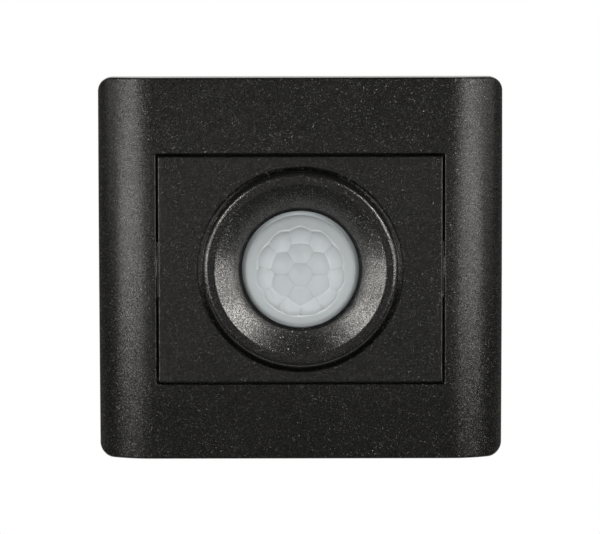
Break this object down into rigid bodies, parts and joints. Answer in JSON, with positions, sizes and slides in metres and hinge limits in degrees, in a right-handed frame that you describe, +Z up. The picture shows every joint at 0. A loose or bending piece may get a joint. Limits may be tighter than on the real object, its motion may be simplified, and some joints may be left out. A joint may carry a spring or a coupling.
{
  "type": "motion sensor light switch",
  "caption": "Wall light switch worked by a motion sensor: a dark face plate with rolled sides, a flush panel with a round rim and dish, and a milky domed lens.",
  "frame": {"origin": "centre of the back of the support frame, in the plane of the wall", "axes": "-Y out of the wall towards the user, +Y into the wall box, +Z up the wall, +X to the right as the user sees it"},
  "size_m": [0.091, 0.0465, 0.086],
  "materials": {
    "plate_plastic": "fine metallic graphite grain, satin",
    "panel_plastic": "fine metallic graphite grain, satin",
    "lens_plastic": "milky translucent, satin",
    "retainer_plastic": "satin",
    "frame_plastic": "satin",
    "housing_plastic": "fine texture",
    "terminal_plastic": "satin",
    "zinc_steel": "zinc plated",
    "cage_steel": "zinc plated",
    "tinned_brass": "tinned, satin",
    "board_laminate": "green solder mask",
    "pir_metal": "nickel plated",
    "pir_glass": "dark filter",
    "ldr_ceramic": "lacquered ceramic",
    "led_resin": "tinted clear resin",
    "tinned_wire": "tinned",
    "trimmer_plastic": "satin",
    "dial_plastic": "satin",
    "chip_epoxy": "moulded",
    "header_plastic": "satin",
    "relay_plastic": "satin",
    "bobbin_plastic": "satin",
    "soft_iron": "nickel plated",
    "copper_wire": "enamelled copper",
    "contact_metal": "copper alloy with silver faces",
    "film_capacitor_box": "moulded box",
    "capacitor_sleeve": "shrink sleeve",
    "varistor_lacquer": "dipped lacquer",
    "fuse_plastic": "moulded",
    "rectifier_epoxy": "moulded",
    "resistor_lacquer": "cement lacquer"
  },
  "bodies": {
    "switch_module": {"support_frame": "frame_plastic", "back_housing": "housing_plastic", "module_cover": "housing_plastic", "housing_screws": "zinc_steel", "cover_screws": "zinc_steel", "board_screws": "zinc_steel", "sensor_board": "board_laminate", "main_board": "board_laminate", "pir_base": "pir_metal", "pir_can": "pir_metal", "pir_window": "pir_glass", "light_sensor": "ldr_ceramic", "status_led": "led_resin", "led_leads": "tinned_wire", "time_trimmer": "trimmer_plastic", "lux_trimmer": "trimmer_plastic", "control_chip": "chip_epoxy", "chip_legs": "tinned_wire", "link_socket": "header_plastic", "link_header": "header_plastic", "link_pins": "tinned_wire", "relay_case": "relay_plastic", "relay_base": "relay_plastic", "relay_pins": "tinned_wire", "relay_yoke": "soft_iron", "relay_core": "soft_iron", "relay_bobbin": "bobbin_plastic", "relay_winding": "copper_wire", "relay_fixed_contact": "contact_metal", "dropper_capacitor": "film_capacitor_box", "smoothing_capacitor": "capacitor_sleeve", "varistor": "varistor_lacquer", "fuse": "fuse_plastic", "bridge_rectifier": "rectifier_epoxy", "power_resistor": "resistor_lacquer", "terminal_block": "terminal_plastic", "live_bar": "tinned_brass", "neutral_bar": "tinned_brass", "load_bar": "tinned_brass"},
    "plate": {"face_plate": "plate_plastic"},
    "panel": {"center_panel": "panel_plastic", "fresnel_lens": "lens_plastic", "lens_retainer": "retainer_plastic"},
    "time_knob": {"time_dial": "dial_plastic"},
    "lux_knob": {"lux_dial": "dial_plastic"},
    "armature": {"relay_armature": "soft_iron", "relay_contact_leaf": "contact_metal"},
    "live_clamp_screw": {"live_screw": "zinc_steel"},
    "live_cage": {"live_clamp": "cage_steel"},
    "neutral_clamp_screw": {"neutral_screw": "zinc_steel"},
    "neutral_cage": {"neutral_clamp": "cage_steel"},
    "load_clamp_screw": {"load_screw": "zinc_steel"},
    "load_cage": {"load_clamp": "cage_steel"}
  },
  "joints": [
    {"name": "plate_pull", "type": "slide", "parent": "switch_module", "child": "plate", "axis": [0, -1, 0], "range_m": [0, 0.03]},
    {"name": "panel_pull", "type": "slide", "parent": "switch_module", "child": "panel", "axis": [0, -1, 0], "range_m": [0, 0.025]},
    {"name": "time_turn", "type": "hinge", "parent": "switch_module", "child": "time_knob", "pos_m": [-0.01762, -0.0053, -0.01762], "axis": [0, -1, 0], "range_deg": [-135, 135]},
    {"name": "lux_turn", "type": "hinge", "parent": "switch_module", "child": "lux_knob", "pos_m": [0.01762, -0.0053, -0.01762], "axis": [0, -1, 0], "range_deg": [-135, 135]},
    {"name": "armature_hinge", "type": "hinge", "parent": "switch_module", "child": "armature", "pos_m": [-0.0185, 0.0066, 0.01015], "axis": [0, 0, 1], "range_deg": [0, 4], "stiffness_Nm_per_rad": 0.01},
    {"name": "live_screw_turn", "type": "hinge", "parent": "switch_module", "child": "live_clamp_screw", "pos_m": [-0.013, 0.0224, -0.018], "axis": [0, -1, 0], "range_deg": [0, 1445]},
    {"name": "live_clamp_rise", "type": "slide", "parent": "switch_module", "child": "live_cage", "axis": [0, 1, 0], "range_m": [0, 0.0024]},
    {"name": "neutral_screw_turn", "type": "hinge", "parent": "switch_module", "child": "neutral_clamp_screw", "pos_m": [0, 0.0224, -0.018], "axis": [0, -1, 0], "range_deg": [0, 1445]},
    {"name": "neutral_clamp_rise", "type": "slide", "parent": "switch_module", "child": "neutral_cage", "axis": [0, 1, 0], "range_m": [0, 0.0024]},
    {"name": "load_screw_turn", "type": "hinge", "parent": "switch_module", "child": "load_clamp_screw", "pos_m": [0.013, 0.0224, -0.018], "axis": [0, -1, 0], "range_deg": [0, 1445]},
    {"name": "load_clamp_rise", "type": "slide", "parent": "switch_module", "child": "load_cage", "axis": [0, 1, 0], "range_m": [0, 0.0024]}
  ],
  "couplings": [
    {"joint": "live_screw_turn", "follows": "live_clamp_rise", "rad_per_m": 10472},
    {"joint": "neutral_screw_turn", "follows": "neutral_clamp_rise", "rad_per_m": 10472},
    {"joint": "load_screw_turn", "follows": "load_clamp_rise", "rad_per_m": 10472}
  ]
}
